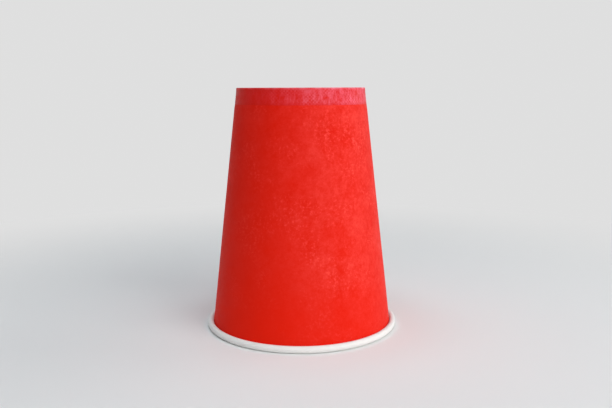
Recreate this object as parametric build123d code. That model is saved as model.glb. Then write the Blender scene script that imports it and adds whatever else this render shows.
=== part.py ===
from build123d import *
import os
from math import asin, atan2, cos, degrees, radians, sin, tan

# Single-wall paper cup, stood mouth down on its rolled rim. Lengths in millimetres.
# The origin is the centre of the circle on which the rim rests, and +Z runs up the cup's
# axis to the foot, which is the end that the full cup stands on.
#
# The cup is two pieces of board. The side board is a fan-shaped blank wrapped into a cone
# and sealed along a side lap. Its wide edge is rolled outwards into the rim, and its narrow
# edge is folded back inwards over the skirt of the bottom disc. The white face of the board
# is inside the cup and shows again on the rolled rim. The printed face is outside and shows
# again on the hem in the foot.

# Outline of the cup. The foot is measured where the printed face would meet the foot's plane.
cup_height = 111.5
rim_diameter = 90.0
foot_diameter = 59.0

# Board, and the coating that seals the bottom disc's skirt in its slot
wall_board = 0.38
base_board = 0.30
sealing_film = 0.02

# Rolled rim: the height of the roll, how much its outer quarter is tighter than its first
# half, the play between the roll and the wall, and how the cut edge is tucked in beside it
rim_roll = 3.2
roll_tightening = 0.10
roll_play = 0.05
tuck_radius = 0.95
tuck_turn = 70.0

# Foot: the hem is the folded-in strip of the wall, and the skirt is the disc's turned edge.
# The disc lies just below the hem's cut edge, which sets the depth of the recess.
hem_length = 7.4
hem_gap = 0.8
skirt_bend = 0.8
skirt_end_play = 0.5

# Side lap, with widths measured round the rim. Over the climb the wall rises on to the
# blank's other end, in flat steps that are narrow enough to look round.
lap_width = 7.0
climb_width = 5.0
climb_steps = 3
lap_azimuth = 90.0

# Worked out from the sizes above
rim_radius = rim_diameter / 2
foot_radius = foot_diameter / 2
skirt_slot = base_board + 2 * sealing_film
fold_radius = skirt_slot / 6

# The roll is drawn as three arcs. The last of them is as wide as the wall beside it allows.
roll_radius = rim_roll / 2
over_radius = roll_radius - roll_tightening
roll_centre = Vector(rim_radius - roll_radius, roll_radius)

# The printed face runs straight from the foot to a tangent on the inside of the roll.
foot_to_roll = Vector(roll_centre.X - foot_radius, cup_height - roll_centre.Y)
flare = atan2(foot_to_roll.X, foot_to_roll.Y) - asin(
    (roll_radius - wall_board) / foot_to_roll.length
)
down_the_wall = degrees(flare) - 90
up_the_wall = degrees(flare) + 90
closing_radius = (
    roll_radius * (1 + cos(flare))
    - over_radius * (cos(flare) - sin(flare))
    - wall_board
    - roll_play
) / (1 + sin(flare))


def white_radius(height):
    """Radius of the wall's inside face at a height above the rim's plane."""
    return foot_radius - wall_board / cos(flare) + (cup_height - height) * tan(flare)


def board_face(start, heading, folds, offset):
    """One face of a strip of board: runs and bends, set off to the left of the path."""
    ahead = Vector(1, 0).rotate(Axis.Z, heading)
    point = start + ahead.rotate(Axis.Z, 90) * offset
    edges = []
    for run, radius, turn in folds:
        if run > 0:
            edges.append(Line(point, point + ahead * run))
            point = edges[-1] @ 1
        if turn:
            bend = radius - offset if turn > 0 else radius + offset
            edges.append(JernArc(point, ahead, bend, turn))
            point = edges[-1] @ 1
            ahead = edges[-1] % 1
    return edges


def board_section(start, heading, folds, near, far):
    """Section of a strip of board between two distances from its path, in the XZ plane."""
    first = board_face(start, heading, folds, near)
    second = board_face(start, heading, folds, far)
    ends = [Line(first[0] @ 0, second[0] @ 0), Line(first[-1] @ 1, second[-1] @ 1)]
    return Plane.XZ * make_face(first + second + ends)


def closing_turn(far):
    """Turn of the roll's last arc, which ends where the roll comes up to the wall."""
    closing_centre = Vector(
        rim_radius - over_radius, roll_radius + over_radius - closing_radius
    )
    out_of_wall = Vector(cos(flare), sin(flare))
    room = (closing_centre - roll_centre).dot(out_of_wall) + roll_radius - far - roll_play
    return degrees(flare + asin(min(1, room / closing_radius)))


def wall_section(near, far, tucked=False):
    """Section of the side board from the hem's cut edge round to the one in the roll.

    The path is the white face where the board lies on the former, and near and far are the
    distances of the board's two faces from it.
    """
    fold_end = cup_height - far - fold_radius * (1 - sin(flare))
    fold_flat = (skirt_slot - 2 * fold_radius) / cos(flare)
    hem_top = Vector(
        white_radius(fold_end) - 2 * fold_radius * cos(flare) - fold_flat,
        fold_end - 2 * fold_radius * sin(flare),
    )
    hem_run = (hem_top.Y - (cup_height - hem_length)) / cos(flare)
    hem_edge = hem_top + Vector(sin(flare), -cos(flare)) * hem_run
    wall_run = (fold_end - roll_radius * (1 - sin(flare))) / cos(flare)
    folds = [
        (hem_run, fold_radius, -up_the_wall),
        (fold_flat, fold_radius, down_the_wall),
        (wall_run, roll_radius, 90 - down_the_wall),
        (0, over_radius, 90),
        (0, closing_radius, closing_turn(far)),
    ]
    if tucked:
        folds.append((0, tuck_radius, tuck_turn))
    return board_section(hem_edge, up_the_wall, folds, near, far)


def side_wall():
    """The side board, wrapped once round with its outer end lapped over its inner end."""
    lap_angle = degrees(lap_width / rim_radius)
    climb_angle = degrees(climb_width / rim_radius)
    inner_end = lap_azimuth - lap_angle / 2
    outer_end = lap_azimuth + lap_angle / 2

    single = revolve(
        wall_section(0, wall_board, tucked=True), Axis.Z, 360 - lap_angle - climb_angle
    )
    double = revolve(wall_section(0, 2 * wall_board), Axis.Z, lap_angle)
    climb = []
    for step in range(climb_steps + 1):
        share = step / climb_steps
        section = wall_section(wall_board * share, wall_board * (1 + share))
        climb.append(Rot(0, 0, inner_end - climb_angle * (1 - share)) * section)
    return Rot(0, 0, outer_end) * single + [
        Rot(0, 0, inner_end) * double,
        loft(climb, ruled=True),
    ]


def bottom_disc():
    """The bottom disc, with its edge turned towards the foot as a skirt inside the wall."""
    foot_face = cup_height - hem_length - hem_gap
    drink_face = foot_face - base_board
    skirt_face = white_radius(drink_face) - sealing_film / cos(flare)
    corner = skirt_bend * tan(radians(up_the_wall / 2))
    skirt_end = cup_height - 2 * wall_board - skirt_end_play
    folds = [
        (skirt_face - corner, skirt_bend, up_the_wall),
        ((skirt_end - drink_face) / cos(flare) - corner, 0, 0),
    ]
    return revolve(board_section(Vector(0, drink_face), 0, folds, 0, base_board), Axis.Z)


os.makedirs("parts", exist_ok=True)
export_step(side_wall(), "parts/side_wall.step")
export_step(bottom_disc(), "parts/bottom_disc.step")
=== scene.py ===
from math import asin, atan2, cos, degrees, hypot, pi, radians, sin, tan

import bpy
from mathutils import Matrix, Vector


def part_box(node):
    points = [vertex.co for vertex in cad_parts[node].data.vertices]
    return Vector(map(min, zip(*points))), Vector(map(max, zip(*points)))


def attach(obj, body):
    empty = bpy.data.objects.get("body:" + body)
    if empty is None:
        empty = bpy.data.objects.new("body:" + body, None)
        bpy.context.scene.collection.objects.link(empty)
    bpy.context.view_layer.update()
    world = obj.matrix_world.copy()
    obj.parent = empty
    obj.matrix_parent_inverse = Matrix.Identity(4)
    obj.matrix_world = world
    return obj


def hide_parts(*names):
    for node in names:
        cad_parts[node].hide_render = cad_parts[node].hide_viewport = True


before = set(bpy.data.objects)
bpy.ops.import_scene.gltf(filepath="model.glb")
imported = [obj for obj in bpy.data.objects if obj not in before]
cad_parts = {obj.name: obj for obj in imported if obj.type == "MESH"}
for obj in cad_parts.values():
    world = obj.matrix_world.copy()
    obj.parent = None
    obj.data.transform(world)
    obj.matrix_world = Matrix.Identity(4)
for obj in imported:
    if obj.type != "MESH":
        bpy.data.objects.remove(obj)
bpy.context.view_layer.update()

# The cup stands mouth down on its rolled rim, with its side lap at the back, at +Y.
# Lengths are in metres and angles in degrees. A section of the cup is drawn in the XZ
# plane, where x is the distance from the cup's axis and z is the height over the floor.
MM = 0.001

# Outline of the cup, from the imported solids
wall_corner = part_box("side_wall")[1]
CUP_HEIGHT = wall_corner.z
RIM_RADIUS = wall_corner.x
FOOT_RADIUS = 29.5 * MM

# Board and the coating that seals the disc's skirt in its slot
WALL_BOARD = 0.38 * MM
BASE_BOARD = 0.30 * MM
SEALING_FILM = 0.02 * MM

# Rolled rim. In the lap there is no room to tuck the double edge in beside the roll.
RIM_ROLL = 3.2 * MM
ROLL_TIGHTENING = 0.10 * MM
ROLL_PLAY = 0.05 * MM
TUCK_RADIUS = 0.95 * MM
TUCK_TURN = 70
TUCK_LEFT_IN_LAP = 2

# Foot. The disc's middle is crowned over this share of its flat radius.
HEM_LENGTH = 7.4 * MM
HEM_GAP = 0.8 * MM
SKIRT_BEND = 0.8 * MM
SKIRT_END_PLAY = 0.5 * MM
DISC_CROWN = 0.22 * MM
CROWN_SHARE = 0.8

# Side lap, with widths measured round the rim
LAP_WIDTH = 7.0 * MM
CLIMB_WIDTH = 5.0 * MM
LAP_AZIMUTH = 90
LAP_GAP = 0.015 * MM

# Worked out from the sizes above
SKIRT_SLOT = BASE_BOARD + 2 * SEALING_FILM
FOLD_RADIUS = SKIRT_SLOT / 6
ROLL_RADIUS = RIM_ROLL / 2
OVER_RADIUS = ROLL_RADIUS - ROLL_TIGHTENING
ROLL_CENTRE = (RIM_RADIUS - ROLL_RADIUS, ROLL_RADIUS)
FOOT_TO_ROLL = (ROLL_CENTRE[0] - FOOT_RADIUS, CUP_HEIGHT - ROLL_CENTRE[1])
FLARE = atan2(*FOOT_TO_ROLL) - asin((ROLL_RADIUS - WALL_BOARD) / hypot(*FOOT_TO_ROLL))
DOWN_THE_WALL = degrees(FLARE) - 90
UP_THE_WALL = degrees(FLARE) + 90
CLOSING_RADIUS = (
    ROLL_RADIUS * (1 + cos(FLARE))
    - OVER_RADIUS * (cos(FLARE) - sin(FLARE))
    - WALL_BOARD
    - ROLL_PLAY
) / (1 + sin(FLARE))
LAP_ANGLE = degrees(LAP_WIDTH / RIM_RADIUS)
CLIMB_ANGLE = degrees(CLIMB_WIDTH / RIM_RADIUS)
INNER_END = LAP_AZIMUTH - LAP_ANGLE / 2
OUTER_END = LAP_AZIMUTH + LAP_ANGLE / 2
HEM_EDGE = CUP_HEIGHT - HEM_LENGTH
DISC_FOOT_FACE = HEM_EDGE - HEM_GAP
DISC_DRINK_FACE = DISC_FOOT_FACE - BASE_BOARD

# How finely the boards are divided: round the cup, and along the runs and bends of a section
COLUMN_ANGLE = 1.5
CLIMB_COLUMNS = 5
HEM_PARTS = 6
FOLD_PARTS = 6
BAND_PARTS = 10
WALL_PARTS = 30
ROLL_PARTS = 20
OVER_PARTS = 10
CLOSING_PARTS = 10
TUCK_PARTS = 5
CROWN_PARTS = 12
CROWN_EASE_PARTS = 4
SKIRT_BEND_PARTS = 8
SKIRT_PARTS = 6
BAND_CUTS = 2

# Relief that the knurled wheel presses through the wall over the hem
KNURL_PITCH = 1.55 * MM
KNURL_DEPTH = 0.035 * MM
PINCH_DEPTH = 0.07 * MM
PINCH_FADE = 2.2 * MM

# Slight sway of the open wall, how far over the roll and under the disc it comes in, and the
# margin outside the foot's radius within which a point is left alone as the hem's
WALL_SWAY = 0.10 * MM
SWAY_SIZE = 30 * MM
SWAY_START = 6 * MM
SWAY_RISE = 20 * MM
SWAY_FALL = 15 * MM
HEM_MARGIN = 0.5 * MM

# Margins for what counts as the same place, azimuth or smooth face
WELD = 0.001 * MM
SAME_AZIMUTH = 0.05
SMOOTH_ANGLE = 40

# Finishes of a piece, in the order of its slots. The drawn face has the first of them.
FAR_FACE = 1
CUT_EDGE = 2
PRESSED_FACE = 3


# Drawing in edit mode

def nothing_selected():
    bpy.ops.object.select_all(action="DESELECT")


def edit():
    bpy.ops.object.mode_set(mode="EDIT")


def leave_edit():
    bpy.ops.object.mode_set(mode="OBJECT")


def pen_down(x, z):
    """Puts one point down in the XZ plane, selected, in the mesh that is being edited."""
    bpy.ops.mesh.select_mode(type="VERT")
    bpy.ops.mesh.select_all(action="DESELECT")
    bpy.ops.mesh.primitive_plane_add(size=WALL_BOARD, location=(x, 0, z))
    bpy.ops.mesh.merge(type="CENTER")


def draw_board(start, heading, folds, offset):
    """Draws a strip of board in section: straight runs and bends, set off to the left."""
    x = start[0] - offset * sin(radians(heading))
    z = start[1] + offset * cos(radians(heading))
    pen_down(x, z)
    for run, run_parts, radius, turn, turn_parts in folds:
        part = run / run_parts
        step = (part * cos(radians(heading)), 0, part * sin(radians(heading)))
        if run > 0:
            for count in range(run_parts):
                bpy.ops.mesh.extrude_vertices_move(TRANSFORM_OT_translate={"value": step})
            x += run * cos(radians(heading))
            z += run * sin(radians(heading))
        if turn:
            side = 1 if turn > 0 else -1
            bend = radius - side * offset
            hub_x = x - side * bend * sin(radians(heading))
            hub_z = z + side * bend * cos(radians(heading))
            bpy.ops.mesh.spin(
                steps=turn_parts, angle=radians(turn), center=(hub_x, 0, hub_z), axis=(0, 1, 0)
            )
            heading += turn
            x = hub_x + side * bend * sin(radians(heading))
            z = hub_z - side * bend * cos(radians(heading))


def turn_selected(azimuth):
    """Turns the selected outline about the cup's axis, counterclockwise from above."""
    bpy.ops.transform.rotate(
        value=-radians(azimuth), orient_axis="Z", center_override=(0, 0, 0)
    )


def sweep_selected(azimuth, columns):
    """Spins the selected outline about the cup's axis, counterclockwise from above."""
    bpy.ops.mesh.spin(
        steps=columns, angle=-radians(azimuth), center=(0, 0, 0), axis=(0, 0, 1)
    )


def select_points(board, chosen):
    """Selects the points of the mesh being edited for which the function chosen is true."""
    bpy.ops.mesh.select_mode(type="VERT")
    bpy.ops.mesh.select_all(action="DESELECT")
    leave_edit()
    for point in board.data.vertices:
        point.select = chosen(point)
    edit()


def select_faces(board, chosen):
    """Selects the faces for which chosen is true, and stays in edit mode."""
    edit()
    bpy.ops.mesh.select_mode(type="FACE")
    bpy.ops.mesh.select_all(action="DESELECT")
    leave_edit()
    for face in board.data.polygons:
        face.select = chosen(face)
    edit()


def select_columns(board, azimuths):
    """Selects the outlines that stand at these azimuths."""

    def stands_there(point):
        here = degrees(atan2(point.co.y, point.co.x))
        return any(abs((here - there + 180) % 360 - 180) < SAME_AZIMUTH for there in azimuths)

    select_points(board, stands_there)


def new_board(name):
    """A new mesh object in edit mode with nothing in it, for outlines to be drawn in."""
    nothing_selected()
    bpy.ops.mesh.primitive_plane_add(size=WALL_BOARD)
    board = bpy.context.object
    board.name = name
    board.data.name = name
    edit()
    bpy.ops.mesh.select_all(action="SELECT")
    bpy.ops.mesh.delete(type="VERT")
    return board


def weld(inside):
    """Merges doubled points, turns all faces in or outwards, and leaves edit mode."""
    bpy.ops.mesh.select_all(action="SELECT")
    bpy.ops.mesh.remove_doubles(threshold=WELD)
    bpy.ops.mesh.normals_make_consistent(inside=inside)
    leave_edit()


def apply_modifier(board, kind, **settings):
    nothing_selected()
    board.select_set(True)
    bpy.context.view_layer.objects.active = board
    modifier = board.modifiers.new(kind.lower(), kind)
    for name, value in settings.items():
        setattr(modifier, name, value)
    bpy.ops.object.modifier_apply(modifier=modifier.name)


def give_thickness(board, thickness):
    """Thickens the sheet behind its drawn face, with a finish for the far face and the edges."""
    apply_modifier(
        board,
        "SOLIDIFY",
        thickness=thickness,
        offset=-1,
        use_even_offset=True,
        use_quality_normals=True,
        material_offset=FAR_FACE,
        material_offset_rim=CUT_EDGE,
    )


def finish_piece(board, node):
    nothing_selected()
    board.select_set(True)
    bpy.context.view_layer.objects.active = board
    bpy.ops.object.shade_smooth_by_angle(angle=radians(SMOOTH_ANGLE))
    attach(board, "root")
    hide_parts(node)


# Side wall

def white_radius(height):
    """Radius of the wall's inside face at a height over the floor."""
    return FOOT_RADIUS - WALL_BOARD / cos(FLARE) + (CUP_HEIGHT - height) * tan(FLARE)


def closing_turn(far):
    """Turn of the roll's last bend, which ends where the roll comes up to the wall."""
    hub = (RIM_RADIUS - OVER_RADIUS, ROLL_RADIUS + OVER_RADIUS - CLOSING_RADIUS)
    away = (hub[0] - ROLL_CENTRE[0]) * cos(FLARE) + (hub[1] - ROLL_CENTRE[1]) * sin(FLARE)
    room = away + ROLL_RADIUS - far - ROLL_PLAY
    return degrees(FLARE + asin(min(1, room / CLOSING_RADIUS)))


def draw_wall(lift, layers):
    """Draws the white face of the side board, from the hem's cut edge to the one in the roll.

    The lift is how far the board stands off the former, and the layers are the boards that
    lie one on another there, both counted in thicknesses of board.
    """
    far = layers * WALL_BOARD + (layers - 1) * LAP_GAP
    fold_end = CUP_HEIGHT - far - FOLD_RADIUS * (1 - sin(FLARE))
    fold_flat = (SKIRT_SLOT - 2 * FOLD_RADIUS) / cos(FLARE)
    hem_top_x = white_radius(fold_end) - 2 * FOLD_RADIUS * cos(FLARE) - fold_flat
    hem_top_z = fold_end - 2 * FOLD_RADIUS * sin(FLARE)
    hem_run = (hem_top_z - HEM_EDGE) / cos(FLARE)
    hem_start = (hem_top_x + hem_run * sin(FLARE), HEM_EDGE)
    wall_run = (fold_end - ROLL_RADIUS * (1 - sin(FLARE))) / cos(FLARE)
    band_run = (fold_end - HEM_EDGE + PINCH_FADE) / cos(FLARE)
    tuck = TUCK_TURN + (TUCK_LEFT_IN_LAP - TUCK_TURN) * (layers - 1)
    folds = [
        (hem_run, HEM_PARTS, FOLD_RADIUS, -UP_THE_WALL, FOLD_PARTS),
        (fold_flat, 1, FOLD_RADIUS, DOWN_THE_WALL, FOLD_PARTS),
        (band_run, BAND_PARTS, 0, 0, 0),
        (wall_run - band_run, WALL_PARTS, ROLL_RADIUS, 90 - DOWN_THE_WALL, ROLL_PARTS),
        (0, 1, OVER_RADIUS, 90, OVER_PARTS),
        (0, 1, CLOSING_RADIUS, closing_turn(far), CLOSING_PARTS),
        (0, 1, TUCK_RADIUS, tuck, TUCK_PARTS),
    ]
    draw_board(hem_start, UP_THE_WALL, folds, lift * (WALL_BOARD + LAP_GAP))


def plain_turn():
    """The wall from the end of the ease beside the lap, once round to the foot of the climb."""
    board = new_board("cup_wall")
    draw_wall(0, 1)
    bpy.ops.mesh.select_all(action="SELECT")
    turn_selected(OUTER_END + CLIMB_ANGLE)
    sweep = 360 - LAP_ANGLE - 2 * CLIMB_ANGLE
    sweep_selected(sweep, round(sweep / COLUMN_ANGLE))
    leave_edit()
    return board


def bridged_outlines(board, azimuths, lifts, layers):
    """Draws an outline at each azimuth and bridges each to the next."""
    for azimuth, lift, count in zip(azimuths, lifts, layers):
        leave_edit()
        drawn = len(board.data.vertices)
        edit()
        draw_wall(lift, count)
        select_points(board, lambda point: point.index >= drawn)
        turn_selected(azimuth)
    for first, second in zip(azimuths, azimuths[1:]):
        select_columns(board, (first, second))
        bpy.ops.mesh.bridge_edge_loops(type="SINGLE")


def lap_under():
    """The inner end of the board, which the outer end covers, and the ease up to full height."""
    board = new_board("lap_under")
    shares = [step / CLIMB_COLUMNS for step in range(CLIMB_COLUMNS + 1)]
    azimuths = [OUTER_END + CLIMB_ANGLE * share for share in shares]
    bridged_outlines(board, azimuths, [0 for share in shares], [2 - share for share in shares])
    select_columns(board, (OUTER_END,))
    sweep_selected(-LAP_ANGLE, round(LAP_ANGLE / COLUMN_ANGLE))
    leave_edit()
    return board


def lap_over():
    """The outer end of the board, climbing on to the inner end and lying over it."""
    board = new_board("lap_over")
    shares = [step / CLIMB_COLUMNS for step in range(CLIMB_COLUMNS + 1)]
    azimuths = [INNER_END - CLIMB_ANGLE * (1 - share) for share in shares]
    bridged_outlines(board, azimuths, shares, [1 + share for share in shares])
    select_columns(board, (INNER_END,))
    sweep_selected(LAP_ANGLE, round(LAP_ANGLE / COLUMN_ANGLE))
    leave_edit()
    return board


def join_boards(boards):
    """Joins strips of one board and welds them where they meet."""
    nothing_selected()
    for board in boards:
        board.select_set(True)
    bpy.context.view_layer.objects.active = boards[0]
    bpy.ops.object.join()
    edit()
    weld(inside=True)
    return boards[0]


def ease(share):
    share = max(0, min(1, share))
    return share * share * (3 - 2 * share)


def on_open_wall(place):
    """Weight of the wall's slight sway: none at the hem or the roll."""
    if hypot(place.x, place.y) < FOOT_RADIUS + HEM_MARGIN:
        return 0
    over_roll = ease((place.z - SWAY_START) / SWAY_RISE)
    return over_roll * ease((DISC_DRINK_FACE - place.z) / SWAY_FALL)


def sway_wall(board):
    """Lets the open wall stray a little from a true cone, as board that was wrapped does."""
    sway = bpy.data.textures.new("wall_sway", "CLOUDS")
    sway.noise_scale = SWAY_SIZE
    group = board.vertex_groups.new(name="open_wall")
    for point in board.data.vertices:
        weight = on_open_wall(point.co)
        if weight > 0:
            group.add([point.index], weight, "REPLACE")
    apply_modifier(
        board,
        "DISPLACE",
        vertex_group="open_wall",
        texture=sway,
        strength=WALL_SWAY,
        mid_level=0.5,
    )
    board.vertex_groups.clear()


def printed_band_points(board):
    """Indices of the points of the printed face over the hem."""
    points = set()
    for face in board.data.polygons:
        middle = face.center
        outside = hypot(middle.x, middle.y) > white_radius(middle.z) + 0.5 * WALL_BOARD
        if face.material_index == FAR_FACE and outside and middle.z > HEM_EDGE - PINCH_FADE:
            points.update(face.vertices)
    return points


def pinch(place):
    """Share of the pinch at a place: all of it over the hem, none at the fold or below."""
    under_fold = ease((CUP_HEIGHT - WALL_BOARD - place.z) / PINCH_FADE)
    return under_fold * ease((place.z - HEM_EDGE + PINCH_FADE) / PINCH_FADE)


def knurl(place):
    """Share of the knurling's depth at a place, in diamonds."""
    around = atan2(place.y, place.x) * FOOT_RADIUS
    rising = cos(2 * pi * (around + place.z) / KNURL_PITCH)
    falling = cos(2 * pi * (around - place.z) / KNURL_PITCH)
    return pinch(place) * (0.5 + 0.25 * (rising + falling))


def press_band(board):
    """Divides the printed face over the hem and presses the knurled wheel's marks into it."""
    band = printed_band_points(board)
    select_faces(
        board,
        lambda face: face.material_index == FAR_FACE and band.issuperset(face.vertices),
    )
    bpy.ops.mesh.subdivide(number_cuts=BAND_CUTS)
    leave_edit()
    pressed = sorted(printed_band_points(board))
    for name, share_at in (("pinch", pinch), ("knurl", knurl)):
        group = board.vertex_groups.new(name=name)
        for index in pressed:
            group.add([index], share_at(board.data.vertices[index].co), "REPLACE")
    for name, depth in (("pinch", PINCH_DEPTH), ("knurl", KNURL_DEPTH)):
        apply_modifier(board, "DISPLACE", vertex_group=name, strength=-depth, mid_level=0)
    board.vertex_groups.clear()
    for face in board.data.polygons:
        if face.material_index == FAR_FACE and face.center.z > HEM_EDGE:
            face.material_index = PRESSED_FACE


def cup_wall(printed, pressed, coated, raw):
    board = join_boards([plain_turn(), lap_under(), lap_over()])
    for finish in (coated, printed, raw, pressed):
        board.data.materials.append(finish)
    sway_wall(board)
    give_thickness(board, WALL_BOARD)
    press_band(board)
    finish_piece(board, "side_wall")


# Bottom disc

def cup_bottom(coated, bare, raw):
    board = new_board("cup_bottom")
    skirt_face = white_radius(DISC_DRINK_FACE) - SEALING_FILM / cos(FLARE)
    corner = SKIRT_BEND * tan(radians(UP_THE_WALL / 2))
    skirt_end = CUP_HEIGHT - 2 * WALL_BOARD - SKIRT_END_PLAY
    skirt_run = (skirt_end - DISC_DRINK_FACE) / cos(FLARE) - corner
    crowned = CROWN_SHARE * (skirt_face - corner)
    eased = (1 - CROWN_SHARE) * (skirt_face - corner)
    crown_radius = crowned ** 2 / (2 * DISC_CROWN)
    crown_turn = degrees(asin(crowned / crown_radius))
    folds = [
        (0, 1, crown_radius, -crown_turn, CROWN_PARTS),
        (0, 1, eased / radians(crown_turn), crown_turn, CROWN_EASE_PARTS),
        (0, 1, SKIRT_BEND, UP_THE_WALL, SKIRT_BEND_PARTS),
        (skirt_run, SKIRT_PARTS, 0, 0, 0),
    ]
    rise = DISC_CROWN + eased * radians(crown_turn) / 2
    draw_board((0, DISC_DRINK_FACE + rise), 0, folds, 0)
    bpy.ops.mesh.select_all(action="SELECT")
    sweep_selected(360, round(360 / COLUMN_ANGLE))
    weld(inside=False)
    for finish in (coated, bare, raw):
        board.data.materials.append(finish)
    give_thickness(board, BASE_BOARD)
    finish_piece(board, "bottom_disc")


# Drawing of the finishes

def new_material(name):
    made = bpy.data.materials.new(name)
    made.use_nodes = True
    return made.node_tree, made.node_tree.nodes["Principled BSDF"], made


def join(tree, source, target):
    tree.links.new(source, target)


def object_point(tree):
    return tree.nodes.new("ShaderNodeTexCoord").outputs["Object"]


def clouds(tree, scale, detail, low, high, roughness=0.5, upright=1):
    """Noise of a size, from 0 to 1 between two of its levels, drawn out upright if asked."""
    noise = tree.nodes.new("ShaderNodeTexNoise")
    noise.inputs["Scale"].default_value = scale
    noise.inputs["Detail"].default_value = detail
    noise.inputs["Roughness"].default_value = roughness
    drawn_out = tree.nodes.new("ShaderNodeMapping")
    drawn_out.inputs["Scale"].default_value = (1, 1, 1 / upright)
    join(tree, object_point(tree), drawn_out.inputs["Vector"])
    join(tree, drawn_out.outputs["Vector"], noise.inputs["Vector"])
    return between(tree, noise.outputs["Fac"], low, high)


def between(tree, value, low, high, smooth=True):
    """A value as a share of the way from low to high."""
    share = tree.nodes.new("ShaderNodeMapRange")
    share.interpolation_type = "SMOOTHSTEP" if smooth else "LINEAR"
    share.inputs["From Min"].default_value = low
    share.inputs["From Max"].default_value = high
    join(tree, value, share.inputs["Value"])
    return share.outputs["Result"]


def along(tree, axis):
    """A point's place along one axis."""
    split = tree.nodes.new("ShaderNodeSeparateXYZ")
    join(tree, object_point(tree), split.inputs["Vector"])
    return split.outputs[axis]


def combine(tree, operation, first, second=0):
    node = tree.nodes.new("ShaderNodeMath")
    node.operation = operation
    for socket, value in zip(node.inputs, (first, second)):
        if isinstance(value, (int, float)):
            socket.default_value = value
        else:
            join(tree, value, socket)
    return node.outputs["Value"]


def plus(tree, first, second):
    return combine(tree, "ADD", first, second)


def times(tree, first, second):
    return combine(tree, "MULTIPLY", first, second)


def blend_colours(tree, share, first, second):
    node = tree.nodes.new("ShaderNodeMix")
    node.data_type = "RGBA"
    for name, value in (("A", first), ("B", second)):
        socket = next(s for s in node.inputs if s.name == name and s.type == "RGBA")
        if isinstance(value, tuple):
            socket.default_value = (*value, 1)
        else:
            join(tree, value, socket)
    join(tree, share, node.inputs["Factor"])
    return next(s for s in node.outputs if s.type == "RGBA")


def bump(tree, shader, height, strength, distance):
    node = tree.nodes.new("ShaderNodeBump")
    node.inputs["Strength"].default_value = strength
    node.inputs["Distance"].default_value = distance
    join(tree, height, node.inputs["Height"])
    join(tree, node.outputs["Normal"], shader.inputs["Normal"])


def uneven_gloss(tree, shader, roughness, spread, scale):
    """Roughness that wanders by up to the spread over patches of a size."""
    patches = clouds(tree, scale, detail=3, low=0.3, high=0.7)
    wandering = plus(tree, roughness, times(tree, patches, spread))
    join(tree, wandering, shader.inputs["Roughness"])


# Print. Painted light makes the ink lighter from a height over the foot to one under the rim.
# Wear comes in between two heights over the rim and goes out towards the foot. Painted sheen
# makes it come in round the cup between two places along the line that points to the side where
# the lamps' sheen falls, and a painted highlight runs along the fold between two heights.
PAINTED_LIGHT_HEIGHTS = (120 * MM, -10 * MM)
WEAR_OVER_RIM = (6 * MM, 40 * MM)
WEAR_UNDER_FOOT = (CUP_HEIGHT, 100 * MM)
PAINTED_SHEEN_SIDE = (0.92, 0.40, 0)
PAINTED_SHEEN_ROUND_CUP = (-34 * MM, 10 * MM)
HAZE_HEIGHTS = (HEM_EDGE - 0.3 * MM, HEM_EDGE + 1.5 * MM)
PAINTED_HIGHLIGHT_HEIGHTS = (CUP_HEIGHT - 1.0 * MM, CUP_HEIGHT - 0.1 * MM)
RIDGE_LEVEL = 1.2


def painted_sheen_side(tree, least):
    """Painted sheen round the cup: a share from the least at -X and a little to the front, up to
    1 at +X, where the lamps' sheen falls.
    """
    across = tree.nodes.new("ShaderNodeVectorMath")
    across.operation = "DOT_PRODUCT"
    across.inputs[1].default_value = PAINTED_SHEEN_SIDE
    join(tree, object_point(tree), across.inputs[0])
    side = between(tree, across.outputs["Value"], *PAINTED_SHEEN_ROUND_CUP)
    return plus(tree, least, times(tree, side, 1 - least))


def rubbed_print(tree):
    """Red ink over open board: lighter and paler wherever cups have rubbed against each other,
    with painted sheen towards +X and painted light towards the rim.
    """
    ink_painted_darker_at_foot = (0.72, 0.009, 0.001)
    ink_painted_lighter_at_rim = (0.83, 0.013, 0.002)
    thin_ink_and_painted_sheen = (0.96, 0.076, 0.062)
    up = along(tree, "Z")
    # Painted light: the ink is painted lighter towards the rim and darker towards the foot, as if
    # more light fell on the lower wall.
    painted_light_share = between(tree, up, *PAINTED_LIGHT_HEIGHTS, smooth=False)
    ink = blend_colours(tree, painted_light_share, ink_painted_darker_at_foot, ink_painted_lighter_at_rim)

    open_wall = times(
        tree, between(tree, up, *WEAR_OVER_RIM), between(tree, up, *WEAR_UNDER_FOOT)
    )
    reach = plus(tree, 0.40, times(tree, open_wall, 0.60))
    worn = clouds(tree, scale=85, detail=6, low=0.30, high=0.78, roughness=0.95)
    # Painted sheen: the pale scuffs are real wear, painted stronger towards +X where the lamps'
    # sheen falls.
    worn = times(tree, worn, painted_sheen_side(tree, least=0.22))
    patches = plus(tree, 0.15, clouds(tree, scale=70, detail=3, low=0.42, high=0.66))
    grains = clouds(tree, scale=820, detail=3, low=0.47, high=0.76, roughness=0.65)
    grains = times(tree, times(tree, grains, patches), painted_sheen_side(tree, least=0.45))
    wear_and_painted_sheen = plus(tree, times(tree, worn, 0.70), times(tree, grains, 0.68))
    return blend_colours(tree, times(tree, wear_and_painted_sheen, reach), ink, thin_ink_and_painted_sheen)


def print_surface(tree, shader, roughness, spread):
    """A matt print's gloss, uneven over the board's fibres, which also stand up a little."""
    uneven_gloss(tree, shader, roughness, spread, scale=500)
    fibres = clouds(tree, scale=1500, detail=4, low=0.2, high=0.8)
    bump(tree, shader, fibres, strength=0.3, distance=0.02 * MM)


def printed_board():
    """Matt red print with pale scuffs, painted sheen towards +X and painted light towards the
    rim.
    """
    tree, shader, made = new_material("printed_board")
    join(tree, rubbed_print(tree), shader.inputs["Base Color"])
    shader.inputs["Specular IOR Level"].default_value = 0.05
    print_surface(tree, shader, roughness=0.48, spread=0.10)
    return made


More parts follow.
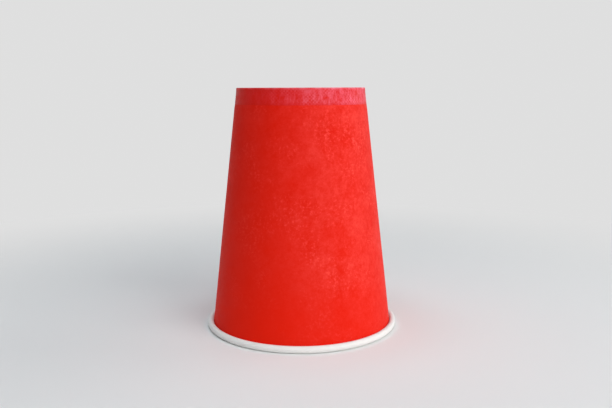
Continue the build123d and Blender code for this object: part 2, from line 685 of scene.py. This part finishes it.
def knurl_ridges(tree):
    """The diamonds that the knurled wheel leaves, from 0 in their valleys to 1 on their tops."""
    turn = combine(tree, "ARCTAN2", along(tree, "Y"), along(tree, "X"))
    around = times(tree, turn, 2 * pi * FOOT_RADIUS / KNURL_PITCH)
    up = times(tree, along(tree, "Z"), 2 * pi / KNURL_PITCH)
    rising = combine(tree, "COSINE", plus(tree, around, up))
    falling = combine(tree, "COSINE", combine(tree, "SUBTRACT", around, up))
    return between(tree, plus(tree, rising, falling), RIDGE_LEVEL, -RIDGE_LEVEL)


def hazed_print(tree):
    """The ink over the hem, rubbed pale in patches, on the ridges and along fine pleats, with
    painted sheen that fades almost to nothing towards -X.
    """
    valley_ink = (0.69, 0.009, 0.003)
    rub_haze_and_painted_sheen = (0.92, 0.165, 0.240)
    rubbed = clouds(tree, scale=190, detail=5, low=0.34, high=0.70, roughness=0.95)
    pleats = clouds(tree, scale=620, detail=3, low=0.40, high=0.70, roughness=0.7, upright=3)
    ridge_patches = clouds(tree, scale=160, detail=2, low=0.35, high=0.65)
    ridges = times(tree, knurl_ridges(tree), ridge_patches)
    share = plus(tree, times(tree, rubbed, 0.46), times(tree, ridges, 0.26))
    share = plus(tree, share, times(tree, pleats, 0.36))
    # Painted sheen: the pale haze is partly rubbed print and partly painted sheen, strongest
    # towards +X.
    share = times(tree, share, painted_sheen_side(tree, least=0.03))
    onset = between(tree, along(tree, "Z"), *HAZE_HEIGHTS)
    share = times(tree, share, plus(tree, 0.45, times(tree, onset, 0.55)))
    return blend_colours(tree, share, valley_ink, rub_haze_and_painted_sheen)


def painted_fold_highlight(tree):
    """Painted highlight along the fold at the foot: how much of its pale colour is painted there,
    most towards +X.
    """
    edge = between(tree, along(tree, "Z"), *PAINTED_HIGHLIGHT_HEIGHTS)
    patches = clouds(tree, scale=260, detail=3, low=0.35, high=0.7)
    edge = times(tree, edge, plus(tree, 0.15, patches))
    edge = times(tree, edge, painted_sheen_side(tree, least=0.25))
    return times(tree, edge, 0.55)


def pressed_print():
    """The print over the hem, hazed by the knurled wheel and by painted sheen, with a painted
    highlight along the fold.
    """
    tree, shader, made = new_material("pressed_print")
    fold_highlight_colour = (0.86, 0.36, 0.46)
    # Painted highlight: the pale line along the fold is painted, strongest towards +X.
    base = blend_colours(tree, painted_fold_highlight(tree), hazed_print(tree), fold_highlight_colour)
    join(tree, base, shader.inputs["Base Color"])
    shader.inputs["Specular IOR Level"].default_value = 0.07
    print_surface(tree, shader, roughness=0.36, spread=0.14)
    return made


# Board

def coated_board():
    """White board under the clear film that makes it hold a drink."""
    tree, shader, made = new_material("coated_board")
    tone = clouds(tree, scale=260, detail=4, low=0.3, high=0.7)
    base = blend_colours(tree, tone, (0.845, 0.84, 0.82), (0.82, 0.815, 0.79))
    join(tree, base, shader.inputs["Base Color"])
    uneven_gloss(tree, shader, roughness=0.40, spread=0.12, scale=600)
    shader.inputs["Specular IOR Level"].default_value = 0.30
    ripples = clouds(tree, scale=1100, detail=4, low=0.2, high=0.8)
    bump(tree, shader, ripples, strength=0.2, distance=0.02 * MM)
    return made


def bare_board():
    """Uncoated white board, with its fibres open."""
    tree, shader, made = new_material("bare_board")
    fibres = clouds(tree, scale=1500, detail=5, low=0.3, high=0.7, roughness=0.65)
    base = blend_colours(tree, fibres, (0.80, 0.785, 0.74), (0.73, 0.71, 0.66))
    join(tree, base, shader.inputs["Base Color"])
    shader.inputs["Roughness"].default_value = 0.85
    shader.inputs["Specular IOR Level"].default_value = 0.25
    bump(tree, shader, fibres, strength=0.4, distance=0.03 * MM)
    return made


def raw_edge():
    """The cut edge of the board, dull and a little darker between its fibres."""
    tree, shader, made = new_material("raw_edge")
    fibres = clouds(tree, scale=4000, detail=3, low=0.3, high=0.7)
    base = blend_colours(tree, fibres, (0.78, 0.74, 0.66), (0.66, 0.61, 0.52))
    join(tree, base, shader.inputs["Base Color"])
    shader.inputs["Roughness"].default_value = 0.95
    shader.inputs["Specular IOR Level"].default_value = 0.2
    bump(tree, shader, fibres, strength=0.5, distance=0.03 * MM)
    return made


# Studio. The paint is lit and shaded by the lamps up to the nearer of two distances from the
# middle of the rim's circle, and shows an even white of its own past the farther one.
SWEEP_RADIUS = 1.6
SWEEP_HEIGHT = 1.3
SWEEP_BEND = 0.7
SWEEP_SIDES = 96
SWEEP_BEND_PARTS = 16
SHADOW_REACH = (0.10, 0.36)
DISTANT_WHITE = (0.74, 0.74, 0.74)

# Each lamp's name, place, width, power and colour
LAMPS = (
    ("key_light", (0.73, -0.61, 0.60), 0.7, 3.9, (1, 0.99, 0.97)),
    ("edge_light", (1.04, 0.28, 0.28), 0.7, 3.3, (1, 1, 1)),
    ("front_light", (0.40, -0.93, 0.40), 0.7, 3.5, (1, 1, 1)),
    ("top_light", (-0.10, -0.05, 1.20), 0.8, 7.2, (0.86, 0.93, 1)),
)
AIR_COLOUR = (0.94, 0.97, 1, 1)
AIR_STRENGTH = 0.02


def pale_paint():
    """Pale matt paint that takes the cup's shadow near it and is evenly lit in the distance."""
    tree, shader, made = new_material("pale_paint")
    tone = clouds(tree, scale=3, detail=2, low=0.3, high=0.7)
    base = blend_colours(tree, tone, (0.83, 0.83, 0.82), (0.82, 0.82, 0.81))
    join(tree, base, shader.inputs["Base Color"])
    shader.inputs["Roughness"].default_value = 0.9
    shader.inputs["Specular IOR Level"].default_value = 0.1
    glow = tree.nodes.new("ShaderNodeEmission")
    glow.inputs["Color"].default_value = (*DISTANT_WHITE, 1)

    reach = tree.nodes.new("ShaderNodeVectorMath")
    reach.operation = "LENGTH"
    join(tree, object_point(tree), reach.inputs["Vector"])
    away = between(tree, reach.outputs["Value"], *SHADOW_REACH)
    seen = tree.nodes.new("ShaderNodeLightPath").outputs
    plain_view = combine(tree, "MAXIMUM", seen["Is Camera Ray"], seen["Is Glossy Ray"])
    plain_view = combine(tree, "MAXIMUM", plain_view, seen["Is Transmission Ray"])

    mixed = tree.nodes.new("ShaderNodeMixShader")
    join(tree, times(tree, away, plain_view), mixed.inputs["Fac"])
    join(tree, shader.outputs["BSDF"], mixed.inputs[1])
    join(tree, glow.outputs["Emission"], mixed.inputs[2])
    join(tree, mixed.outputs["Shader"], tree.nodes["Material Output"].inputs["Surface"])
    return made


def studio_sweep():
    """A round floor that curves up into a wall, so that no view shows an edge."""
    nothing_selected()
    bpy.ops.mesh.primitive_circle_add(
        vertices=SWEEP_SIDES, radius=SWEEP_RADIUS, fill_type="NGON"
    )
    sweep = bpy.context.object
    sweep.name = "studio_sweep"
    edit()
    bpy.ops.mesh.select_mode(type="EDGE")
    bpy.ops.mesh.select_all(action="SELECT")
    bpy.ops.mesh.extrude_edges_move(TRANSFORM_OT_translate={"value": (0, 0, SWEEP_HEIGHT)})
    leave_edit()
    for line in sweep.data.edges:
        ends = [sweep.data.vertices[index].co.z for index in line.vertices]
        line.select = max(ends) < MM
    edit()
    bpy.ops.mesh.bevel(offset=SWEEP_BEND, segments=SWEEP_BEND_PARTS, clamp_overlap=False)
    leave_edit()
    bpy.ops.object.shade_smooth()
    sweep.data.materials.append(pale_paint())


def softbox(name, place, size, power, colour):
    """A square lamp that points at the middle of the cup."""
    lamp = bpy.data.lights.new(name, "AREA")
    lamp.shape = "SQUARE"
    lamp.size = size
    lamp.energy = power
    lamp.color = colour
    holder = bpy.data.objects.new(name, lamp)
    bpy.context.scene.collection.objects.link(holder)
    holder.location = place
    across = hypot(place[0], place[1])
    drop = place[2] - CUP_HEIGHT / 2
    holder.rotation_euler = (atan2(across, drop), 0, atan2(place[0], -place[1]))


def studio_light():
    world = bpy.data.worlds.new("studio_air")
    world.use_nodes = True
    air = world.node_tree.nodes["Background"]
    air.inputs["Color"].default_value = AIR_COLOUR
    air.inputs["Strength"].default_value = AIR_STRENGTH
    bpy.context.scene.world = world
    for lamp in LAMPS:
        softbox(*lamp)


# The photograph's lens and place, found by fitting the cup's outline
LENS = 41.816
SENSOR_WIDTH = 36
CAMERA_DISTANCE = 331.442 * MM
CAMERA_PITCH = 0.162358
CAMERA_YAW = 0.006862
CAMERA_ROLL = -0.003361
NEAREST_SEEN = 0.01
FARTHEST_SEEN = 20


def photo_camera():
    """The camera stands level with the foot and looks down at the cup. Its turns are radians."""
    camera = bpy.data.cameras.new("photo_camera")
    camera.lens = LENS
    camera.sensor_width = SENSOR_WIDTH
    camera.clip_start = NEAREST_SEEN
    camera.clip_end = FARTHEST_SEEN
    holder = bpy.data.objects.new("photo_camera", camera)
    bpy.context.scene.collection.objects.link(holder)
    holder.location = (0, -CAMERA_DISTANCE, CUP_HEIGHT)
    turned = Matrix.Rotation(-CAMERA_YAW, 3, "Z")
    tilted = Matrix.Rotation(pi / 2 - CAMERA_PITCH, 3, "X")
    rolled = Matrix.Rotation(CAMERA_ROLL, 3, "Z")
    holder.rotation_euler = (turned @ tilted @ rolled).to_euler()
    bpy.context.scene.camera = holder


coated = coated_board()
raw = raw_edge()
cup_wall(printed_board(), pressed_print(), coated, raw)
cup_bottom(coated, bare_board(), raw)
studio_sweep()
studio_light()
photo_camera()
bpy.context.scene.view_settings.view_transform = "Standard"
